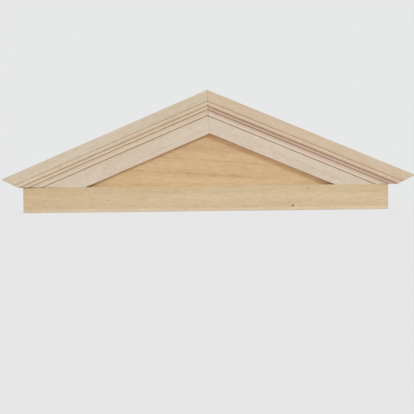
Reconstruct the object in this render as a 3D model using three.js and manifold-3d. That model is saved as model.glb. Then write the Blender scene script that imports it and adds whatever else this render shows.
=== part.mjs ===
// A dolls' house door pediment in bare basswood: a base board, two raking mouldings and a triangular panel.
// Millimetres and degrees, +Z up, front towards -Y. The origin is the middle of the footprint's underside.

import * as THREE from 'three';
import { mergeVertices } from 'three/addons/utils/BufferGeometryUtils.js';
import Module from 'manifold-3d';

// Driving dimensions of the whole pediment.
const span = 127;                // from tip to tip of the raking mouldings
const overallHeight = 37.15;     // from the underside of the board to the apex
const rakeAngle = 22.9;          // slope of each raking moulding

// The base board, glued on a little to the left of the middle.
const boardLength = 112.3;
const boardHeight = 7.7;
const boardDepth = 5.2;
const boardShift = -0.8;

// The two lengths of moulding. Their fascias differ a little in width, so the mitre between them leans.
const leftMouldingWidth = 12.4;
const rightMouldingWidth = 11.96;
const mouldingDepth = 7.2;

// Their milled profile, seen end on: ends run down across the face, depths stand out from the flat back.
const quirkHalfWidth = 0.15;     // half the width of each fine groove between two members
const crownBand = { end: 3.22, quirkDepth: 6.78 };
const upperBead = { end: 4.45, startDepth: 6.9, endDepth: 6.62, rise: 0.12, quirkDepth: 5.88 };
const lowerBead = { end: 5.51, startDepth: 5.95, endDepth: 5.85, rise: 0.12, quirkDepth: 5.5 };
const cove = { end: 7.18, startDepth: 5.82, endDepth: 5.27, quirkDepth: 4.9 };
const coveTurnAt = 0.37;         // share of the cove's width where its two slopes would meet
const coveFlatFrom = 0.75;       // and where it has become flat
const fasciaDepth = 5.2;
const curveSteps = 6;            // flats along each bead and along the cove

// The saw cut under each overhanging tip.
const undercutInset = 5.2;       // from the tip inwards to where the cut meets the level one
const undercutAngle = 26.4;      // its slope, rising outwards

// The panel set back in the triangular opening.
const panelDepth = 3.3;

// Bare basswood: each piece is cut from a strip of a slightly different colour.
const boardColour = 0xd5bd9b;
const leftMouldingColour = 0xd6c5b0;
const rightMouldingColour = 0xd6c3aa;
const panelColour = 0xd8bd93;
const woodRoughness = 0.7;

const glueLine = 0.06;           // the space left at each glued joint
const sawBlockSize = 200;        // a block larger than any piece, taken away on the waste side of a cut

const slope = THREE.MathUtils.degToRad(rakeAngle);
const backY = mouldingDepth / 2;
const halfSpan = span / 2;

// The inner apex, where the lower edges of the two mouldings meet, and the lean of the mitre down to it.
const innerApexX = (leftMouldingWidth - rightMouldingWidth) / (2 * Math.sin(slope));
const innerApexHeight = overallHeight - (leftMouldingWidth + rightMouldingWidth) / (2 * Math.cos(slope));
const mitreLean = Math.atan2(innerApexX, overallHeight - innerApexHeight);

const wasm = await Module();
wasm.setup();

// A closed three.js geometry as a solid that can be cut.
function solidFrom(geometry) {
  const bare = geometry.clone();
  bare.deleteAttribute('normal');
  bare.deleteAttribute('uv');
  const merged = mergeVertices(bare);
  const mesh = new wasm.Mesh({
    numProp: 3,
    vertProperties: new Float32Array(merged.attributes.position.array),
    triVerts: new Uint32Array(merged.index.array),
  });
  return new wasm.Manifold(mesh);
}

// A cut solid back as a three.js geometry with flat faces.
function geometryFrom(solid) {
  const mesh = solid.getMesh();
  const geometry = new THREE.BufferGeometry();
  geometry.setAttribute('position', new THREE.BufferAttribute(new Float32Array(mesh.vertProperties), 3));
  geometry.setIndex(new THREE.BufferAttribute(new Uint32Array(mesh.triVerts), 1));
  const flat = geometry.toNonIndexed();
  flat.computeVertexNormals();
  return flat;
}

// The waste below a sawn plane through (x, z), square to the wall and turned by angle about the Y axis.
function wasteBlock(x, z, angle) {
  const block = new THREE.BoxGeometry(sawBlockSize, sawBlockSize, sawBlockSize);
  block.translate(0, 0, -sawBlockSize / 2);
  block.rotateY(angle);
  block.translate(x, 0, z);
  return solidFrom(block);
}

// A convex bead from where the shape stands to (end, endDepth), standing rise above the straight line.
function addBead(shape, start, startDepth, end, endDepth, rise) {
  shape.quadraticCurveTo((start + end) / 2, (startDepth + endDepth) / 2 + 2 * rise, end, endDepth);
}

// The milled section of the stock: crown band, two beads, a cove and a plain fascia, parted by fine quirks.
function mouldingSection(width) {
  const q = quirkHalfWidth;
  const shape = new THREE.Shape();
  shape.moveTo(0, 0);
  shape.lineTo(0, mouldingDepth);
  shape.lineTo(crownBand.end - q, mouldingDepth);
  shape.lineTo(crownBand.end, crownBand.quirkDepth);

  const upperStart = crownBand.end + q;
  shape.lineTo(upperStart, upperBead.startDepth);
  addBead(shape, upperStart, upperBead.startDepth, upperBead.end - q, upperBead.endDepth, upperBead.rise);
  shape.lineTo(upperBead.end, upperBead.quirkDepth);

  const lowerStart = upperBead.end + q;
  shape.lineTo(lowerStart, lowerBead.startDepth);
  addBead(shape, lowerStart, lowerBead.startDepth, lowerBead.end - q, lowerBead.endDepth, lowerBead.rise);
  shape.lineTo(lowerBead.end, lowerBead.quirkDepth);

  const coveStart = lowerBead.end + q;
  const coveEnd = cove.end - q;
  const coveTurn = coveStart + coveTurnAt * (coveEnd - coveStart);
  const coveFlat = coveStart + coveFlatFrom * (coveEnd - coveStart);
  shape.lineTo(coveStart, cove.startDepth);
  shape.quadraticCurveTo(coveTurn, cove.endDepth, coveFlat, cove.endDepth);
  shape.lineTo(coveEnd, cove.endDepth);
  shape.lineTo(cove.end, cove.quirkDepth);

  shape.lineTo(cove.end + q, fasciaDepth);
  shape.lineTo(width, fasciaDepth);
  shape.lineTo(width, 0);
  shape.closePath();
  return shape;
}

// A straight length of stock laid along one slope, its top edge through the apex.
// side is -1 for the left slope and 1 for the right one.
function rakingStock(side, width) {
  const alongRake = new THREE.Vector3(side * Math.cos(slope), 0, -Math.sin(slope));
  const acrossFace = new THREE.Vector3(-side * Math.sin(slope), 0, -Math.cos(slope));
  const outFromWall = new THREE.Vector3(0, -1, 0);
  const extrudeAxis = alongRake.clone().multiplyScalar(-side);
  const rakeLength = halfSpan / Math.cos(slope);
  const stockLength = rakeLength + 2 * width;

  const stock = new THREE.ExtrudeGeometry(mouldingSection(width), {
    depth: stockLength,
    bevelEnabled: false,
    curveSegments: curveSteps,
  });
  stock.translate(0, 0, -stockLength / 2);
  const apex = new THREE.Vector3(0, backY, overallHeight);
  const middle = alongRake.clone().multiplyScalar(rakeLength / 2).add(apex);
  const placing = new THREE.Matrix4().makeBasis(acrossFace, outFromWall, extrudeAxis).setPosition(middle);
  stock.applyMatrix4(placing);
  return solidFrom(stock);
}

// One raking moulding, sawn from stock by its mitre, its level seat, its undercut and its blunt nose.
function rakingMoulding(side, width) {
  const quarterTurn = Math.PI / 2;
  const mitre = wasteBlock(side * glueLine / 2, overallHeight, side * quarterTurn - mitreLean);
  const seat = wasteBlock(0, boardHeight + glueLine, 0);
  const undercutX = side * (halfSpan - undercutInset);
  const undercut = wasteBlock(undercutX, boardHeight, -side * THREE.MathUtils.degToRad(undercutAngle));
  const nose = wasteBlock(side * halfSpan, 0, -side * quarterTurn);
  let piece = rakingStock(side, width);
  for (const waste of [mitre, seat, undercut, nose]) {
    piece = piece.subtract(waste);
  }
  return geometryFrom(piece);
}

function baseBoard() {
  const board = new THREE.BoxGeometry(boardLength, boardDepth, boardHeight);
  board.translate(boardShift, backY - boardDepth / 2, boardHeight / 2);
  return board;
}

// A triangle that fills the opening, less the glue line on its three edges.
function tympanumPanel() {
  const bottom = boardHeight + glueLine;
  const top = innerApexHeight - glueLine / Math.cos(slope);
  const halfWidth = (top - bottom) / Math.tan(slope);
  const outline = new THREE.Shape();
  outline.moveTo(innerApexX - halfWidth, bottom);
  outline.lineTo(innerApexX + halfWidth, bottom);
  outline.lineTo(innerApexX, top);
  outline.closePath();
  const panel = new THREE.ExtrudeGeometry(outline, { depth: panelDepth, bevelEnabled: false });
  panel.rotateX(Math.PI / 2);
  panel.translate(0, backY, 0);
  return panel;
}

function addPiece(group, name, geometry, colour) {
  const material = new THREE.MeshStandardMaterial({ color: colour, roughness: woodRoughness, metalness: 0 });
  const mesh = new THREE.Mesh(geometry, material);
  mesh.name = name;
  group.add(mesh);
}

const pediment = new THREE.Group();
addPiece(pediment, 'base_board', baseBoard(), boardColour);
addPiece(pediment, 'raking_moulding_left', rakingMoulding(-1, leftMouldingWidth), leftMouldingColour);
addPiece(pediment, 'raking_moulding_right', rakingMoulding(1, rightMouldingWidth), rightMouldingColour);
addPiece(pediment, 'tympanum_panel', tympanumPanel(), panelColour);

export default pediment;
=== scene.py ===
import bpy
from math import cos, pi, radians, sin, tan
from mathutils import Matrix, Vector


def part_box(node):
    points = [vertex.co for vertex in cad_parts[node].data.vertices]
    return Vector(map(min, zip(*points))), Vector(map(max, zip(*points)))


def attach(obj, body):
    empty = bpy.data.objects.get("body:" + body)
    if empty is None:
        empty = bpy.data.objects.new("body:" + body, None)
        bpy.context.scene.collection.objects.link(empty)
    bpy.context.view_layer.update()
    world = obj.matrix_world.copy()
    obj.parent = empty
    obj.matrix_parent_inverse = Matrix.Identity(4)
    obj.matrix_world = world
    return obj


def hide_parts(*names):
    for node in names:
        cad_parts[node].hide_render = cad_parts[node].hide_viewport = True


# A dolls' house pediment in bare basswood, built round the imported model.
# Sizes in the dictionaries are millimetres and degrees; Blender's own are metres.

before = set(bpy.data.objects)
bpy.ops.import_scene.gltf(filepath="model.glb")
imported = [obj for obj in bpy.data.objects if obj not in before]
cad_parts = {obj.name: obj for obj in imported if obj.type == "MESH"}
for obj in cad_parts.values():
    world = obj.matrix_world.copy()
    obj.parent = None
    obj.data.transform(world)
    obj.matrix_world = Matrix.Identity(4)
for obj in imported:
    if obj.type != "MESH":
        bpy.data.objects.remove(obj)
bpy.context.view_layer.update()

mm = 0.001
weld = 1e-7                       # points closer than this, in metres, are one point
near = 1e-6                       # how close an edge has to be to the place it is picked by
lengthwise = 0.9                  # an edge with this much X in its direction runs along the board
tightGap = 0.004 * mm             # every joint is closed at the back

boardLow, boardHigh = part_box("base_board")
panelLow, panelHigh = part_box("tympanum_panel")
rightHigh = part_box("raking_moulding_right")[1]

halfSpan = rightHigh.x            # from the middle to each tip
backY = rightHigh.y               # the flat back of every piece
print("stage: frame loaded")

# small helpers for modelling by hand

def deselectAll():
    if bpy.context.mode != "OBJECT":
        bpy.ops.object.mode_set(mode="OBJECT")
    bpy.ops.object.select_all(action="DESELECT")

def startEditing(piece):
    deselectAll()
    piece.select_set(True)
    bpy.context.view_layer.objects.active = piece
    bpy.ops.object.mode_set(mode="EDIT")

def addBlock(name, low, high):
    deselectAll()
    bpy.ops.mesh.primitive_cube_add(size=1, location=(low + high) / 2, scale=high - low)
    block = bpy.context.object
    block.name = name
    block.data.name = name
    bpy.ops.object.transform_apply(location=True, rotation=True, scale=True)
    return block

# a straight saw cut right through the piece; waste points to the side that falls away
def saw(piece, place, waste):
    startEditing(piece)
    bpy.ops.mesh.select_all(action="SELECT")
    bpy.ops.mesh.bisect(plane_co=place, plane_no=waste.normalized(), use_fill=True, clear_outer=True,
                        threshold=weld)
    bpy.ops.object.mode_set(mode="OBJECT")

# rounds over the edges that the test picks, each given by its middle and its direction
def easeEdges(piece, picks, width, segments):
    startEditing(piece)
    bpy.ops.mesh.select_mode(type="EDGE")
    bpy.ops.mesh.select_all(action="DESELECT")
    bpy.ops.object.mode_set(mode="OBJECT")
    points = piece.data.vertices
    for edge in piece.data.edges:
        a, b = (points[i].co for i in edge.vertices)
        edge.select = picks((a + b) / 2, (b - a).normalized())
    bpy.ops.object.mode_set(mode="EDIT")
    bpy.ops.mesh.bevel(offset=width * mm, segments=segments, affect="EDGES", clamp_overlap=False)
    bpy.ops.object.mode_set(mode="OBJECT")

def closeUp(piece, smoothBelow):
    startEditing(piece)
    bpy.ops.mesh.select_all(action="SELECT")
    bpy.ops.mesh.remove_doubles(threshold=weld)
    bpy.ops.mesh.normals_make_consistent(inside=False)
    bpy.ops.mesh.select_all(action="DESELECT")
    bpy.ops.object.mode_set(mode="OBJECT")
    bpy.ops.object.shade_smooth_by_angle(angle=radians(smoothBelow))

# the base board: a plain strip of wood with sanded arrises

boardStyle = {
    "arris": 0.14,                # the lower long edges, eased with fine paper
    "jointArris": 0.03,           # the upper ones, left sharp where the other pieces are glued on
    "endArris": 0.06,             # the sawn ends, left crisper
    "roundSteps": 3,              # flats round a lower arris
    "fineSteps": 2,               # and round each of the finer ones
    "smoothBelow": 40,            # faces that meet at less than this look rounded
}

def makeBoard():
    s = boardStyle
    board = addBlock("baseBoard", boardLow, boardHigh)
    middleZ = (boardLow.z + boardHigh.z) / 2

    def isLowerLong(middle, way):
        return abs(way.x) > lengthwise and middle.z < middleZ

    def isUpperLong(middle, way):
        return abs(way.x) > lengthwise and middle.z > boardHigh.z - near

    def isRoundEnd(middle, way):
        fromEnd = min(abs(middle.x - boardLow.x), abs(middle.x - boardHigh.x))
        return abs(way.x) < 1 - lengthwise and fromEnd < near

    easeEdges(board, isLowerLong, s["arris"], s["roundSteps"])
    easeEdges(board, isUpperLong, s["jointArris"], s["fineSteps"])
    easeEdges(board, isRoundEnd, s["endArris"], s["fineSteps"])
    closeUp(board, s["smoothBelow"])
    return board

# the raking mouldings: milled stock, drawn end on and then sawn
# widths run down across the face from the top edge, depths stand out from the flat back

stockStyle = {
    "widthLeft": 12.4,
    "widthRight": 11.96,          # a little narrower, so the mitre leans
    "depth": 7.2,
    "angle": 22.9,                # slope of the rake
    "arris": 0.10,                # the long edges, eased with fine paper
    "arrisSteps": 4,              # flats round a long edge
    "lipSteps": 3,                # and round the lip of a quirk
    "quirk": 0.15,                # half the width of each fine groove
    "fasciaQuirk": 0.21,          # and of the wider one above the fascia
    "crown": {"end": 3.22, "quirkDepth": 6.78},
    "upperBead": {"end": 4.45, "startDepth": 6.9, "endDepth": 6.62, "rise": 0.12, "quirkDepth": 5.8},
    "lowerBead": {"end": 5.51, "startDepth": 5.95, "endDepth": 5.85, "rise": 0.12, "quirkDepth": 5.4},
    "cove": {"end": 7.18, "startDepth": 5.82, "endDepth": 5.27, "turnAt": 0.37, "flatFrom": 0.75,
             "quirkDepth": 4.7},
    "fasciaDepth": 5.2,
    "curveSteps": 14,             # flats along each bead and along the cove
    "undercutInset": 5.2,         # from the tip in to where the shallow cut meets the level one
    "undercutAngle": 26.4,
    "mitreOpens": 0.025,          # how far the mitre opens on each side at the face
    "leftSeatOpens": 0.16,        # how far the left seat opens at the face, at its outer end
    "leftSeatOpensOver": 14.0,    # and the length that it opens over
    "smoothBelow": 28,
}

rake = radians(stockStyle["angle"])
bothWidths = stockStyle["widthLeft"] + stockStyle["widthRight"]
widthLeftOver = stockStyle["widthLeft"] - stockStyle["widthRight"]
outerApex = Vector((0, backY, rightHigh.z))
innerApex = outerApex + Vector((widthLeftOver / sin(rake), 0, -bothWidths / cos(rake))) * mm / 2
seatZ = boardHigh.z + tightGap

# adds points on a smooth bend from the last point to the end, pulled towards the bend point
def bendTo(points, bend, end, steps):
    start = points[-1]
    for i in range(1, steps + 1):
        t = i / steps
        points.append(tuple((1 - t) ** 2 * s + 2 * t * (1 - t) * b + t * t * e
                            for s, b, e in zip(start, bend, end)))

def stockSection(w):
    s = stockStyle
    e, q, wideQ, steps = s["arris"], s["quirk"], s["fasciaQuirk"], s["curveSteps"]
    d, f = s["depth"], s["fasciaDepth"]
    points = [(0, 0), (0, d - e)]
    bendTo(points, (0, d), (e, d), s["arrisSteps"])
    crown = s["crown"]
    points.append((crown["end"] - q - e / 2, d))
    bendTo(points, (crown["end"] - q, d), (crown["end"] - q / 2, d - e), s["lipSteps"])
    points.append((crown["end"], crown["quirkDepth"]))
    for start, bead in ((crown["end"], s["upperBead"]), (s["upperBead"]["end"], s["lowerBead"])):
        first, last = start + q, bead["end"] - q
        points.append((first, bead["startDepth"]))
        top = (bead["startDepth"] + bead["endDepth"]) / 2 + 2 * bead["rise"]
        bendTo(points, ((first + last) / 2, top), (last, bead["endDepth"]), steps)
        points.append((bead["end"], bead["quirkDepth"]))
    cove = s["cove"]
    first, last = s["lowerBead"]["end"] + q, cove["end"] - wideQ
    points.append((first, cove["startDepth"]))
    turn = first + cove["turnAt"] * (last - first)
    flat = first + cove["flatFrom"] * (last - first)
    bendTo(points, (turn, cove["endDepth"]), (flat, cove["endDepth"]), steps)
    points.append((last, cove["endDepth"]))
    points.append((cove["end"], cove["quirkDepth"]))
    points.append((cove["end"] + wideQ / 2, f - e))
    bendTo(points, (cove["end"] + wideQ, f), (cove["end"] + wideQ + e / 2, f), s["lipSteps"])
    points.append((w - e, f))
    bendTo(points, (w, f), (w, f - e), s["arrisSteps"])
    points.append((w, 0))
    return points

def makeRaking(name, side):
    s = stockStyle
    width = s["widthRight"] if side > 0 else s["widthLeft"]
    alongRake = Vector((side * cos(rake), 0, -sin(rake)))
    acrossFace = Vector((-side * sin(rake), 0, -cos(rake)))
    outwards = Vector((0, -1, 0))
    spare = alongRake * width * mm
    places = [outerApex - spare + (acrossFace * w + outwards * h) * mm for w, h in stockSection(width)]

    # the section is drawn point by point from a single one
    deselectAll()
    bpy.ops.mesh.primitive_plane_add(size=mm, location=places[0])
    stock = bpy.context.object
    stock.name = name
    stock.data.name = name
    bpy.ops.object.transform_apply(location=True, rotation=True, scale=True)
    startEditing(stock)
    bpy.ops.mesh.select_mode(type="VERT")
    bpy.ops.mesh.select_all(action="SELECT")
    bpy.ops.mesh.merge(type="CENTER")
    for before, after in zip(places, places[1:]):
        bpy.ops.mesh.extrude_vertices_move(TRANSFORM_OT_translate={"value": after - before})
    bpy.ops.mesh.select_all(action="SELECT")
    bpy.ops.mesh.edge_face_add()
    stockLength = alongRake * (halfSpan / cos(rake)) + 2 * spare
    bpy.ops.mesh.extrude_region_move(TRANSFORM_OT_translate={"value": stockLength})
    bpy.ops.object.mode_set(mode="OBJECT")

    # mitre, level seat, the slight opening of the left seat, shallow undercut, blunt nose
    seam = (innerApex - outerApex).normalized()
    mitreWaste = Vector((side * seam.z, -s["mitreOpens"] / s["depth"], -side * seam.x))
    saw(stock, outerApex + Vector((side * tightGap / 2, 0, 0)), mitreWaste)
    saw(stock, Vector((0, 0, seatZ)), Vector((0, 0, -1)))
    if side < 0:
        outerBack = Vector((boardLow.x, backY, seatZ))
        outerFront = Vector((boardLow.x, boardLow.y, seatZ + s["leftSeatOpens"] * mm))
        innerFront = Vector((boardLow.x + s["leftSeatOpensOver"] * mm, boardLow.y, seatZ))
        saw(stock, outerBack, (outerBack - outerFront).cross(innerFront - outerFront))
    slant = radians(s["undercutAngle"])
    kink = Vector((side * (halfSpan - s["undercutInset"] * mm), 0, boardHigh.z))
    saw(stock, kink, Vector((side * sin(slant), 0, -cos(slant))))
    saw(stock, Vector((side * halfSpan, 0, 0)), Vector((side, 0, 0)))
    closeUp(stock, s["smoothBelow"])
    return stock

# the panel set back between them, a triangle sawn from thin sheet

panelStyle = {
    "smoothBelow": 30,
}

def makePanel():
    top = Vector((innerApex.x, panelHigh.y, innerApex.z - tightGap))
    reach = Vector(((top.z - seatZ) / tan(rake), 0, 0))
    panel = addBlock("tympanumPanel", Vector((top.x, panelLow.y, seatZ)) - reach, top + reach)
    for side in (-1, 1):
        saw(panel, top, Vector((side * sin(rake), 0, cos(rake))))
    closeUp(panel, panelStyle["smoothBelow"])
    return panel

baseBoard = makeBoard()
print("stage: base board")
leftMoulding = makeRaking("rakingMouldingLeft", -1)
rightMoulding = makeRaking("rakingMouldingRight", 1)
print("stage: raking mouldings")
tympanumPanel = makePanel()
print("stage: panel")

# materials

def linearColour(hexText):
    parts = [int(hexText[i:i + 2], 16) / 255 for i in (1, 3, 5)]
    return [p / 12.92 if p <= 0.04045 else ((p + 0.055) / 1.055) ** 2.4 for p in parts] + [1]

# adds a node; stops are the places and colours of a ramp, and other settings are sockets or properties
def addNode(tree, kind, settings, links):
    node = tree.nodes.new(kind)
    for name, value in settings.items():
        if name == "stops":
            ramp = node.color_ramp.elements
            ramp[0].color, ramp[1].color = value[0][1], value[-1][1]
            for position, colour in value[1:-1]:
                ramp.new(position).color = colour
        elif isinstance(name, int) or name in node.inputs:
            node.inputs[name].default_value = value
        else:
            setattr(node, name, value)
    for socket, source in links.items():
        tree.links.new(source, node.inputs[socket])
    return node

# Bare basswood, planed or milled and lightly sanded, with no finish on it. It is close and even:
# a pale creamy brown with faint fine fibres, a few soft brown growth lines and now and then a dark
# speck. It has no gloss, and where it is sawn across the grain it is a little darker and pitted.

woodStyle = {
    "ior": 1.46,
    "stripsFade": 2.0,            # the strips of colour set in over this depth from the plain back
    "ringDarkness": [(0, 0), (0.6, 0), (0.88, 0.28), (0.935, 1), (0.965, 0.12), (1, 0)],
    "leastLine": 0.3,             # a growth line never fades below this share
    "linesSetIn": 1.0,            # and sets in over this distance to either side of its start
    "speckDepth": 0.08,           # a speck reaches 12 times as deep into the wood as it is wide
    "speckCore": 0.4,             # the share of it that is fully dark
    "endFrom": 0.25,              # how squarely a face cuts the grain before it looks sawn across
    "endTo": 0.8,                 # and when it does so fully
    "endTint": 0.7,
    "poreCell": 0.2,              # from pore to pore, coarser than the real ones so that they show
    "poreCore": 0.1,              # how far a pore is fully dark, as a share of that
    "poreEdge": 0.32,             # and where it ends
    "poreDarkness": 0.6,
    "reliefHeight": 0.03,
    "reliefStrength": 0.5,
    "smoothFibre": -0.05,         # change of roughness on the palest fibres
    "roughFibre": 0.1,            # and on the darkest
}

# The noise in the wood: the size of its cells in mm along and across the grain, its detail and
# roughness, and the part of its range that is used.
# The first two move the growth lines, fade and dash break them up, broad is slightly darker and
# yellower wood, fleck the short rays and cloud a small mottle. Fibres are 0.25 mm across, coarser
# than the real 0.05 mm so that they show at all.
woodPatterns = {
    "wander": {"cell": (45.5, 11.1), "detail": 2, "rough": 0.45, "used": (0, 1)},
    "ripple": {"cell": (4.545, 2.0), "detail": 3, "rough": 0.6, "used": (0, 1)},
    "fade": {"cell": (33.3, 8.33), "start": (3.1, 0.7, 5.3), "detail": 1, "rough": 0.5,
             "used": (0.35, 0.62)},
    "dash": {"cell": (2.5, 1.25), "detail": 1, "rough": 0.5, "used": (0.45, 0.62)},
    "broad": {"cell": (28.6, 3.333), "detail": 3, "rough": 0.55, "used": (0.3, 0.7)},
    "fibre": {"cell": (6.25, 0.25), "detail": 3, "rough": 0.6, "used": (0.42, 0.72)},
    "fleck": {"cell": (1.111, 0.3125), "detail": 1, "rough": 0.5, "used": (0.6, 0.74)},
    "cloud": {"cell": (2.0, 0.909), "start": (7.7, 2.1, 4.9), "detail": 3, "rough": 0.65,
              "used": (0.35, 0.68)},
}

def makeBasswood(look):
    w = woodStyle
    material = bpy.data.materials.new(look["name"])
    material.use_nodes = True
    tree = material.node_tree
    tree.nodes.clear()
    place = addNode(tree, "ShaderNodeTexCoord", {}, {}).outputs["Object"]

    # each strip along the face has its colour, in places painted light and shade, and the back is plain
    first, last = look["strips"][0][0], look["strips"][-1][0]
    over = addNode(tree, "ShaderNodeVectorMath", {"operation": "DOT_PRODUCT", 1: look["stripWay"]},
                   {0: place}).outputs["Value"]
    overShare = addNode(tree, "ShaderNodeMapRange", {"From Min": look["stripFrom"] + first * mm,
                        "From Max": look["stripFrom"] + last * mm}, {"Value": over}).outputs[0]
    stops = [((far - first) / (last - first), linearColour(shade)) for far, shade in look["strips"]]
    stripColour = addNode(tree, "ShaderNodeValToRGB", {"stops": stops}, {"Fac": overShare}).outputs[0]
    depth = addNode(tree, "ShaderNodeSeparateXYZ", {}, {0: place}).outputs["Y"]
    frontShare = addNode(tree, "ShaderNodeMapRange", {"From Min": backY,
                         "From Max": backY - w["stripsFade"] * mm}, {"Value": depth}).outputs[0]
    colour = addNode(tree, "ShaderNodeMix", {"data_type": "RGBA", 6: linearColour(look["plain"])},
                     {"Factor": frontShare, 7: stripColour}).outputs[2]

    # the grain's own axes in mm: X along it, Y into the wood, Z across it
    slope = radians(look["grainAngle"])
    grain = addNode(tree, "ShaderNodeMapping", {"Scale": (1 / mm, 1 / mm, 1 / mm), "Rotation": (0, slope, 0),
                    "Location": look["grainShift"]}, {"Vector": place}).outputs[0]

    # every pattern, and what it comes to: a distance in mm for the first two, and else a share
    reach = {
        "wander": (-look["wander"] / 2, look["wander"] / 2),
        "ripple": (-look["ripple"] / 2, look["ripple"] / 2),
        "fade": (w["leastLine"], 1),
        "dash": (look["lineStrength"] / 2, look["lineStrength"]),
        "broad": (0, 1),
        "fibre": (0, look["fibreStrength"]),
        "fleck": (0, look["fleckStrength"]),
        "cloud": (0, 1),
    }
    noise, share = {}, {}
    for name, pattern in woodPatterns.items():
        along, across = pattern["cell"]
        cells = addNode(tree, "ShaderNodeMapping", {"Scale": (1 / along, 1 / across, 1 / across),
                        "Location": pattern.get("start", (0, 0, 0))}, {"Vector": grain}).outputs[0]
        noise[name] = addNode(tree, "ShaderNodeTexNoise", {"Scale": 1, "Detail": pattern["detail"],
                              "Roughness": pattern["rough"]}, {"Vector": cells}).outputs["Fac"]
        low, high = pattern["used"]
        least, most = reach[name]
        share[name] = addNode(tree, "ShaderNodeMapRange", {"From Min": low, "From Max": high, "To Min": least,
                              "To Max": most}, {"Value": noise[name]}).outputs[0]

    # growth rings round a pith that runs along the grain, outside the piece
    shift = addNode(tree, "ShaderNodeMath", {"operation": "ADD"},
                    {0: share["wander"], 1: share["ripple"]}).outputs[0]
    axes = addNode(tree, "ShaderNodeSeparateXYZ", {}, {0: grain}).outputs
    up = addNode(tree, "ShaderNodeMath", {"operation": "ADD"}, {0: axes["Z"], 1: shift}).outputs[0]
    fromPith = addNode(tree, "ShaderNodeCombineXYZ", {"X": 0}, {"Y": axes["Y"], "Z": up}).outputs[0]
    radius = addNode(tree, "ShaderNodeVectorMath", {"operation": "DISTANCE", 1: (0, *look["pith"])},
                     {0: fromPith}).outputs["Value"]
    rings = addNode(tree, "ShaderNodeMath", {"operation": "MULTIPLY_ADD", 1: 1 / look["ringSpacing"],
                    2: look["ringStart"]}, {0: radius}).outputs[0]
    phase = addNode(tree, "ShaderNodeMath", {"operation": "FRACT"}, {0: rings}).outputs[0]
    stops = [(at, (dark, dark, dark, 1)) for at, dark in w["ringDarkness"]]
    line = addNode(tree, "ShaderNodeValToRGB", {"stops": stops}, {"Fac": phase}).outputs[0]

    # the lines fade in and out, break into short darker dashes and may be missing at the foot
    lineZone = addNode(tree, "ShaderNodeMapRange", {"From Min": (look["linesFrom"] - w["linesSetIn"]) * mm,
                       "From Max": (look["linesFrom"] + w["linesSetIn"]) * mm}, {"Value": over}).outputs[0]
    for part in (share["fade"], share["dash"], lineZone):
        line = addNode(tree, "ShaderNodeMath", {"operation": "MULTIPLY"}, {0: line, 1: part}).outputs[0]

    tints = [(look["deep"], share["broad"]), (look["fibre"], share["fibre"]), (look["line"], line),
             (look["line"], share["fleck"]), (look["cloud"], share["cloud"])]

    # dark pin specks in the front, each given by its place on the face, its size and how dark it is
    onFace = addNode(tree, "ShaderNodeMapping", {"Location": (0, -w["speckDepth"] * boardLow.y, 0),
                     "Scale": (1, w["speckDepth"], 1)}, {"Vector": place}).outputs[0]
    for x, z, size, darkness in look["specks"]:
        away = addNode(tree, "ShaderNodeVectorMath", {"operation": "DISTANCE", 1: (x * mm, 0, z * mm)},
                       {0: onFace}).outputs["Value"]
        core = size * w["speckCore"]
        spot = addNode(tree, "ShaderNodeMapRange", {"From Min": size * mm, "From Max": core * mm,
                       "To Max": darkness}, {"Value": away}).outputs[0]
        tints.append((look["speck"], spot))
    for tint, part in tints:
        colour = addNode(tree, "ShaderNodeMix", {"data_type": "RGBA", "blend_type": "MULTIPLY",
                         7: linearColour(tint)}, {"Factor": part, 6: colour}).outputs[2]

    # faces sawn across the grain are darker and open
    normal = addNode(tree, "ShaderNodeNewGeometry", {}, {}).outputs["Normal"]
    facing = addNode(tree, "ShaderNodeVectorMath", {"operation": "DOT_PRODUCT",
                     1: (cos(slope), 0, sin(slope))}, {0: normal}).outputs["Value"]
    facing = addNode(tree, "ShaderNodeMath", {"operation": "ABSOLUTE"}, {0: facing}).outputs[0]
    endShare = addNode(tree, "ShaderNodeMapRange", {"From Min": w["endFrom"], "From Max": w["endTo"]},
                       {"Value": facing}).outputs[0]
    pore = addNode(tree, "ShaderNodeTexVoronoi", {"Scale": 1 / w["poreCell"]},
                   {"Vector": grain}).outputs["Distance"]
    poreShare = addNode(tree, "ShaderNodeMapRange", {"From Min": w["poreEdge"], "From Max": w["poreCore"],
                        "To Max": w["poreDarkness"]}, {"Value": pore}).outputs[0]
    endColour = addNode(tree, "ShaderNodeMix", {"data_type": "RGBA", 6: linearColour(look["endGrain"]),
                        7: linearColour(look["endPore"])}, {"Factor": poreShare}).outputs[2]
    endTint = addNode(tree, "ShaderNodeMath", {"operation": "MULTIPLY", 1: w["endTint"]},
                      {0: endShare}).outputs[0]
    colour = addNode(tree, "ShaderNodeMix", {"data_type": "RGBA"},
                     {"Factor": endTint, 6: colour, 7: endColour}).outputs[2]

    # relief: raised fibres on the long faces, pores on the sawn ones
    relief = addNode(tree, "ShaderNodeMath", {"operation": "MULTIPLY"},
                     {0: endShare, 1: poreShare}).outputs[0]
    for part in (share["fibre"], share["fleck"]):
        relief = addNode(tree, "ShaderNodeMath", {"operation": "ADD"}, {0: relief, 1: part}).outputs[0]
    hollow = addNode(tree, "ShaderNodeMath", {"operation": "MULTIPLY", 1: -1}, {0: relief}).outputs[0]
    bump = addNode(tree, "ShaderNodeBump", {"Strength": w["reliefStrength"],
                   "Distance": w["reliefHeight"] * mm}, {"Height": hollow}).outputs[0]
    rough = addNode(tree, "ShaderNodeMapRange", {"To Min": look["roughness"] + w["smoothFibre"],
                    "To Max": look["roughness"] + w["roughFibre"]}, {"Value": noise["fibre"]}).outputs[0]

    shader = addNode(tree, "ShaderNodeBsdfPrincipled", {"IOR": w["ior"], "Metallic": 0},
                     {"Base Color": colour, "Roughness": rough, "Normal": bump}).outputs[0]
    addNode(tree, "ShaderNodeOutputMaterial", {}, {"Surface": shader})
    return material
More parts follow.
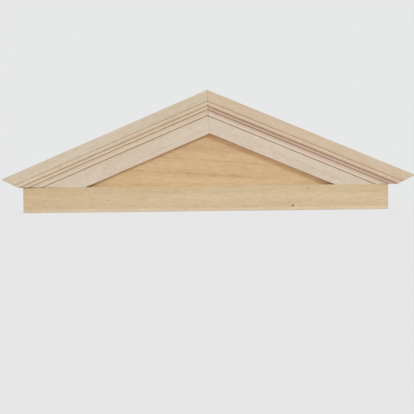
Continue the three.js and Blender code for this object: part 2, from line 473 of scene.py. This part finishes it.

# In each look, strips give the colour at distances in mm, counted along stripWay from stripFrom; besides the
# wood's tone, some strips hold painted light and shade, noted at each.
# Deep, fibre, line, cloud and speck only tint it. The pith is given by its distance in and up from the
# grain's origin, and grainShift moves the pattern so that no two pieces match.

boardLook = {
    "name": "sandedBasswoodBoard",
    "grainAngle": 0.0,
    "grainShift": (0, 0, 0),
    "pith": (9.0, -16.0),
    "ringSpacing": 2.7,
    "ringStart": 0.0,
    "wander": 2.4,
    "ripple": 0.25,
    "linesFrom": -2.0,
    "lineStrength": 0.3,
    "fibreStrength": 0.35,
    "fleckStrength": 0.25,
    "stripWay": (0, 0, 1),
    "stripFrom": 0.0,
    # painted light: the lighter strip along the foot, up to 1.2 mm, stands for light thrown up onto the lower
    # edge from below; from 5.9 mm up the board is a little darker
    "strips": [(0, "#e3cfb2"), (0.6, "#e3cfb2"), (1.2, "#d9c1a0"), (5.3, "#d9c1a0"), (5.9, "#d4bc97"),
               (7.7, "#d4bc97")],
    "plain": "#d9c1a0",
    "deep": "#faf8f4",
    "fibre": "#e5d8c2",
    "line": "#dcc6a0",
    "cloud": "#f7f4ef",
    "speck": "#6b4a2a",
    "endGrain": "#c3a47a",
    "endPore": "#9a7a52",
    "roughness": 0.68,
    "specks": [(26.0, 1.4, 0.4, 1.0), (30.7, 6.5, 0.32, 0.5), (37.95, 2.8, 0.3, 0.42),
               (-30.9, 3.6, 0.3, 0.4)],
}

# both lengths of moulding, with the strips counted down across the face from the top edge
def mouldingLook(name, side, shift, strips, specks):
    return {
        "name": name,
        "grainAngle": -side * stockStyle["angle"],
        "grainShift": shift,
        "pith": (14.0, -22.0),
        "ringSpacing": 3.4,
        "ringStart": 0.0,
        "wander": 2.0,
        "ripple": 0.2,
        "linesFrom": -50.0,
        "lineStrength": 0.25,
        "fibreStrength": 0.3,
        "fleckStrength": 0.25,
        "stripWay": (-side * sin(rake), 0, -cos(rake)),
        "stripFrom": -outerApex.z * cos(rake),
        "strips": strips,
        "plain": "#dac7ad",
        "deep": "#f7f4ee",
        "fibre": "#e6d9c8",
        "line": "#dbc1a2",
        "cloud": "#f8f5f1",
        "speck": "#6b4a2a",
        "endGrain": "#c6aa84",
        "endPore": "#9c7f5a",
        "roughness": 0.7,
        "specks": specks,
    }

# each member's colour is matched to how it looks in the key light from the upper right, so the strips hold
# painted light and shade as well as the wood's tone
leftStrips = [(0, "#d6c6b1"), (3.1, "#d6c6b1"), (3.4, "#dfccb5"), (7.0, "#dfccb5"), (7.3, "#dcccba"),
              (12.4, "#dcccba")]
leftSpecks = [(-33.45, 19.6, 0.32, 0.5), (-21.1, 16.6, 0.28, 0.5), (-43.4, 16.0, 0.3, 0.35)]
leftLook = mouldingLook("milledBasswoodLeft", -1, (40, 3, 11), leftStrips, leftSpecks)

# painted shade: the darker strip from 4.6 to 5.4 mm on the lower bead stands for the shadow that the step
# above casts on it; the other strips on this side are matched to how it is lit in the same way
rightStrips = [(0, "#d5c0a6"), (3.1, "#d5c0a6"), (3.4, "#dfc9b1"), (4.3, "#dfc9b1"), (4.6, "#d3b9a7"),
               (5.4, "#d3b9a7"), (5.7, "#e3d0bf"), (7.0, "#e3d0bf"), (7.3, "#dcccbb"), (12.4, "#dcccbb")]
rightLook = mouldingLook("milledBasswoodRight", 1, (-75, 8, 31), rightStrips, [])

panelLook = {
    "name": "sandedBasswoodPanel",
    "grainAngle": -4.0,
    "grainShift": (0, 0, 0),
    "pith": (15.0, -12.0),
    "ringSpacing": 3.64,
    "ringStart": 0.36,
    "wander": 0.9,
    "ripple": 0.5,
    "linesFrom": 9.6,
    "lineStrength": 0.78,
    "fibreStrength": 0.4,
    "fleckStrength": 0.3,
    "stripWay": (0, 0, 1),
    "stripFrom": 0.0,
    "strips": [(7.7, "#e6cca4"), (8.3, "#e2c69e"), (9.2, "#e1c59d"), (10.5, "#dabc93"), (16.5, "#dabc93"),
               (19.0, "#d4b48d"), (24.0, "#d4b48d")],
    "plain": "#dabc93",
    "deep": "#f7f3ea",
    "fibre": "#e5d2b4",
    "line": "#d7b380",
    "cloud": "#f6f1e8",
    "speck": "#6b4a2a",
    "endGrain": "#c39a63",
    "endPore": "#946c3c",
    "roughness": 0.66,
    "specks": [],
}

def finishPiece(piece, look, node):
    piece.data.materials.clear()
    piece.data.materials.append(makeBasswood(look))
    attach(piece, "root")
    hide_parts(node)

finishPiece(baseBoard, boardLook, "base_board")
finishPiece(leftMoulding, leftLook, "raking_moulding_left")
finishPiece(rightMoulding, rightLook, "raking_moulding_right")
finishPiece(tympanumPanel, panelLook, "tympanum_panel")
print("stage: materials")

# studio: a pale floor, a key light high on the right, wide soft lights from the front, the top and
# behind, and a pale surround

studio = {
    "floorSize": 4.0,             # metres
    "floorDrop": 0.02,            # just below the underside, so that the two faces don't flicker
    "floorColour": "#f7f9fa",
    "floorRoughness": 1.0,
    "surround": "#fff0e8",        # the even light all round
    "surroundStrength": 0.562,
    "seen": "#e7e8e8",            # how the surround looks behind the object
    # each lamp: the way from the object to it, how many degrees across it looks, strength and colour
    "lamps": {
        "keyLight": ((0.6, -1.0, 0.62), 3.0, 1.19, "#c5edff"),
        "frontFill": ((0.05, -1.0, 0.12), 60.0, 0.735, "#ffece3"),
        "topSoft": ((0.0, -0.15, 1.0), 70.0, 0.42, "#f6f9ff"),
        "backFill": ((-0.3, 1.0, 0.35), 60.0, 0.42, "#e9f3ff"),
    },
}

def makeStudio():
    deselectAll()
    bpy.ops.mesh.primitive_plane_add(size=studio["floorSize"], location=(0, 0, -studio["floorDrop"] * mm))
    floor = bpy.context.object
    floor.name = "paleFloor"
    bpy.ops.object.transform_apply(location=True, rotation=True, scale=True)
    paint = bpy.data.materials.new("mattPaleFloor")
    paint.use_nodes = True
    shader = paint.node_tree.nodes["Principled BSDF"]
    shader.inputs["Base Color"].default_value = linearColour(studio["floorColour"])
    shader.inputs["Roughness"].default_value = studio["floorRoughness"]
    shader.inputs["Specular IOR Level"].default_value = 0
    floor.data.materials.append(paint)

    for name, (way, spread, strength, colour) in studio["lamps"].items():
        bpy.ops.object.light_add(type="SUN", location=way)
        lamp = bpy.context.object
        lamp.name = name
        lamp.rotation_euler = Vector(way).to_track_quat("Z", "Y").to_euler()
        lamp.data.angle = radians(spread)
        lamp.data.energy = strength
        lamp.data.color = linearColour(colour)[:3]

    world = bpy.data.worlds.new("paleSurround")
    bpy.context.scene.world = world
    world.use_nodes = True
    tree = world.node_tree
    tree.nodes.clear()
    seen = addNode(tree, "ShaderNodeLightPath", {}, {}).outputs["Is Camera Ray"]
    glow = addNode(tree, "ShaderNodeBackground", {"Color": linearColour(studio["surround"]),
                   "Strength": studio["surroundStrength"]}, {}).outputs[0]
    plain = addNode(tree, "ShaderNodeBackground", {"Color": linearColour(studio["seen"])}, {}).outputs[0]
    shown = addNode(tree, "ShaderNodeMixShader", {}, {0: seen, 1: glow, 2: plain}).outputs[0]
    addNode(tree, "ShaderNodeOutputWorld", {}, {"Surface": shown})
    bpy.context.scene.view_settings.view_transform = "Standard"

# the photograph's view: square on to the front, level with the board and half a metre away

view = {
    "distance": 503.2,            # from the flat back
    "right": -0.45,
    "height": 1.205,
    "lens": 140.7,
    "sensor": 36,
    "roll": 0.67,
    "nearest": 2.0,               # nothing closer than this is drawn
}

def makeCamera():
    location = Vector((view["right"] * mm, backY - view["distance"] * mm, view["height"] * mm))
    bpy.ops.object.camera_add(location=location, rotation=(pi / 2, radians(view["roll"]), 0))
    camera = bpy.context.object
    camera.name = "photoCamera"
    camera.data.lens = view["lens"]
    camera.data.sensor_width = view["sensor"]
    camera.data.clip_start = view["nearest"] * mm
    bpy.context.scene.camera = camera

makeStudio()
makeCamera()
print("stage: studio and camera")
